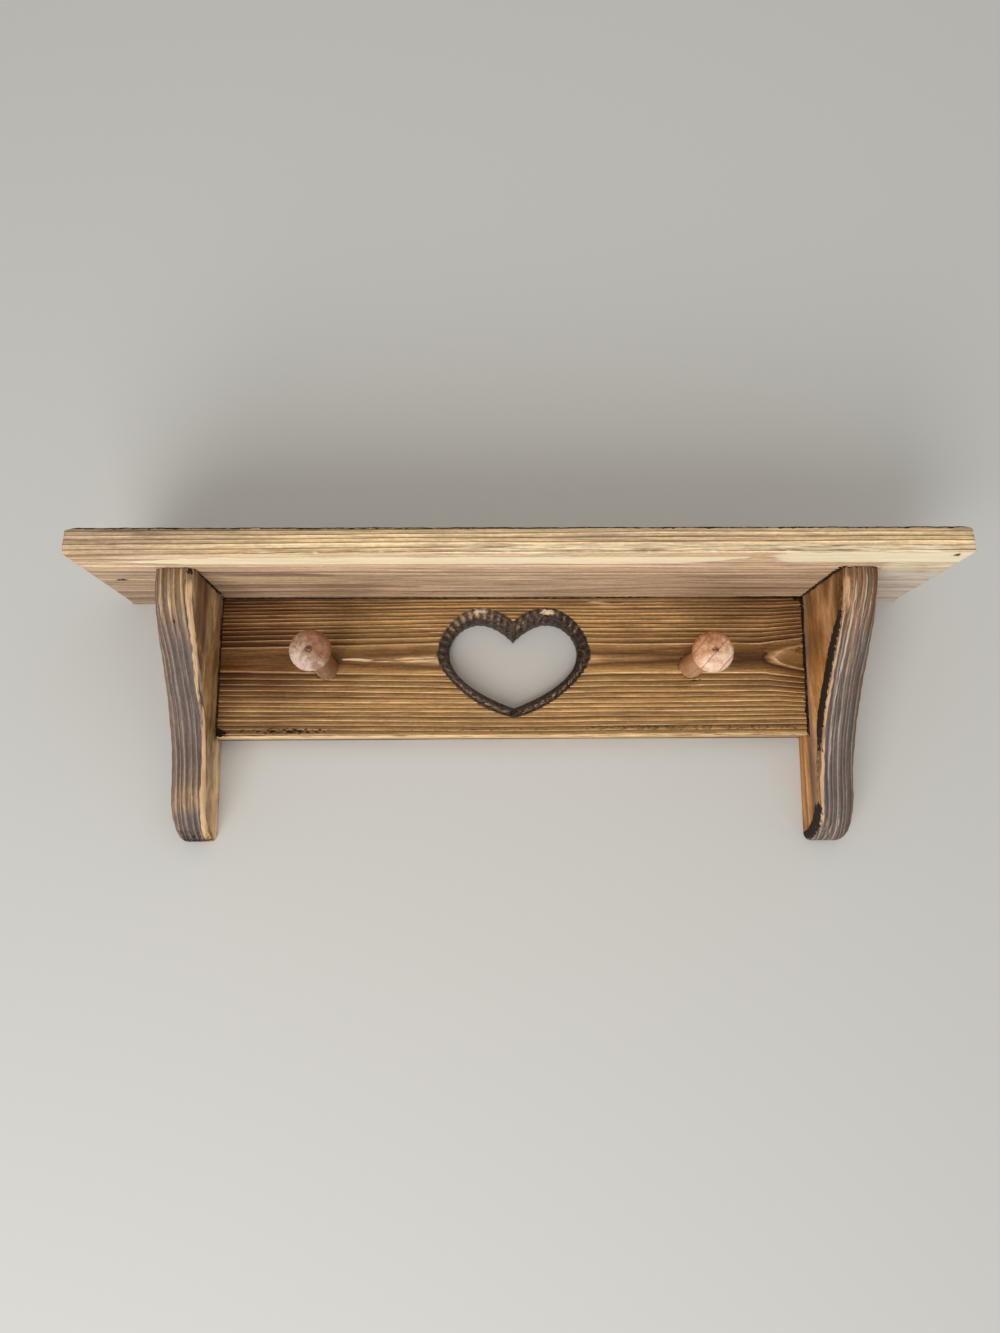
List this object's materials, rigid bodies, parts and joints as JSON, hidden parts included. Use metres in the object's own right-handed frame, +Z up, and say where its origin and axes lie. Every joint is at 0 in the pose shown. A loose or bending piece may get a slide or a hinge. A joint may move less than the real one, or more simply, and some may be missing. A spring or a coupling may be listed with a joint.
{
  "type": "wall shelf with coat pegs",
  "caption": "Small wall shelf on shaped wooden brackets, with a back panel that carries turned coat pegs and a heart cut-out.",
  "frame": {"origin": "on the wall plane, midway between the entry holes of the two keyhole plates", "axes": "+X to the right as seen from the front, +Y into the wall, +Z up"},
  "size_m": [0.5, 0.116, 0.1708],
  "materials": {
    "scorched_pine": "brushed, scorched and oiled",
    "peg_beech": "turned and sanded",
    "dowel_beech": "plain",
    "zinc_plated_steel": "zinc plated"
  },
  "bodies": {
    "root": {"shelf_board": "scorched_pine", "back_panel": "scorched_pine", "left_bracket": "scorched_pine", "right_bracket": "scorched_pine", "left_peg": "peg_beech", "right_peg": "peg_beech", "shelf_dowels": "dowel_beech", "panel_end_dowels": "dowel_beech", "panel_top_dowels": "dowel_beech", "left_hanger_plate": "zinc_plated_steel", "right_hanger_plate": "zinc_plated_steel", "hanger_screws": "zinc_plated_steel"}
  },
  "joints": []
}
